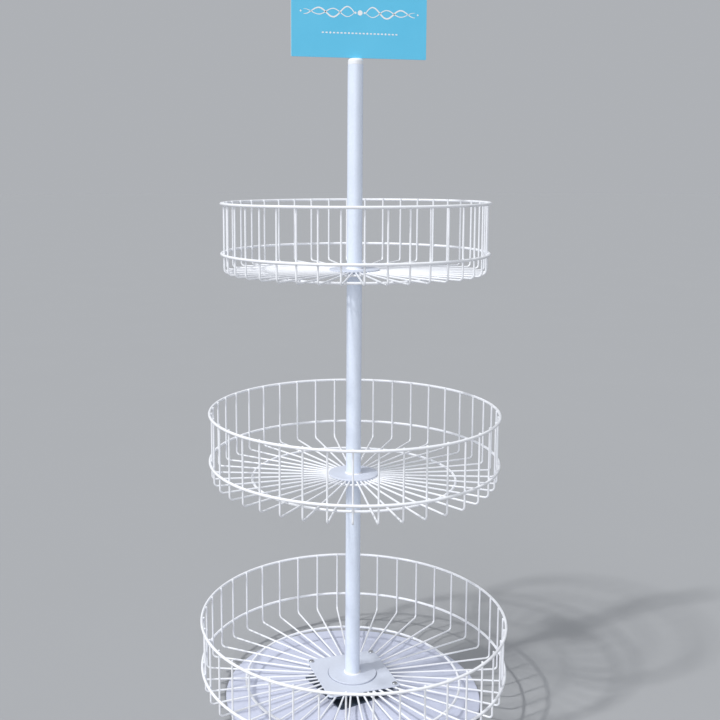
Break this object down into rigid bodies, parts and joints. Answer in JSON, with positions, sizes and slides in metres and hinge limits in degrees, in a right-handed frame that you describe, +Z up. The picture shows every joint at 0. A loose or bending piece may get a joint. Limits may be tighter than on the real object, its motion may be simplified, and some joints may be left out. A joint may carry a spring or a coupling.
{
  "type": "rotating display rack",
  "caption": "Floor-standing rotating display rack: round wire baskets on a central pole over a turntable bearing and a round base, with a blue header sign.",
  "frame": {"origin": "centre of the base on the floor, on the pole's axis", "axes": "+Z up along the pole; the sign's face looks along -Y; +X to the right of someone reading the sign"},
  "size_m": [0.6639, 0.664, 1.5445],
  "materials": {
    "white_powder_coat": "satin powder coat",
    "black_zinc": "black zinc",
    "zinc_steel": "bright zinc plate",
    "nylon": "natural nylon",
    "glide_rubber": "dark grey rubber",
    "white_plastic": "moulded, semi-gloss",
    "sign_blue": "printed board, satin",
    "foam_pad": "closed-cell foam tape"
  },
  "bodies": {
    "base": {"base_plate": "white_powder_coat", "base_glides": "glide_rubber", "bearing_lower_plate": "black_zinc", "base_screws": "black_zinc", "base_nuts": "zinc_steel", "pivot_bolt": "zinc_steel", "pivot_washer": "zinc_steel", "pivot_nut": "zinc_steel"},
    "ball_cage": {"bearing_cage": "nylon", "bearing_balls": "zinc_steel"},
    "carousel": {"bearing_upper_plate": "black_zinc", "bottom_basket_hoop": "white_powder_coat", "bottom_basket_rim": "white_powder_coat", "bottom_basket_wires": "white_powder_coat", "bottom_floor_ring": "white_powder_coat", "hub_nuts": "zinc_steel", "hub_plate": "white_powder_coat", "hub_screws": "zinc_steel", "hub_spacers": "zinc_steel", "middle_basket_hoop": "white_powder_coat", "middle_basket_rim": "white_powder_coat", "middle_basket_wires": "white_powder_coat", "middle_floor_ring": "white_powder_coat", "middle_hub_flange": "white_powder_coat", "middle_inner_ring": "white_powder_coat", "pivot_bush": "nylon", "pole_cap": "white_plastic", "pole_coupler_lower": "zinc_steel", "pole_coupler_upper": "zinc_steel", "pole_foot_flange": "white_powder_coat", "pole_lower": "white_powder_coat", "pole_middle": "white_powder_coat", "pole_upper": "white_powder_coat", "sign_pads": "foam_pad", "sign_panel": "sign_blue", "sign_tongue": "white_powder_coat", "top_basket_hoop": "white_powder_coat", "top_basket_rim": "white_powder_coat", "top_basket_wires": "white_powder_coat", "top_floor_ring": "white_powder_coat", "top_hub_flange": "white_powder_coat", "top_inner_ring": "white_powder_coat"}
  },
  "joints": [
    {"name": "carousel_spin", "type": "hinge", "parent": "base", "child": "carousel", "pos_m": [0, 0, 0.03273], "axis": [0, 0, 1], "continuous": true},
    {"name": "ball_cage_spin", "type": "hinge", "parent": "base", "child": "ball_cage", "pos_m": [0, 0, 0.03273], "axis": [0, 0, 1], "continuous": true}
  ],
  "couplings": [
    {"joint": "ball_cage_spin", "follows": "carousel_spin", "ratio": 0.5}
  ]
}
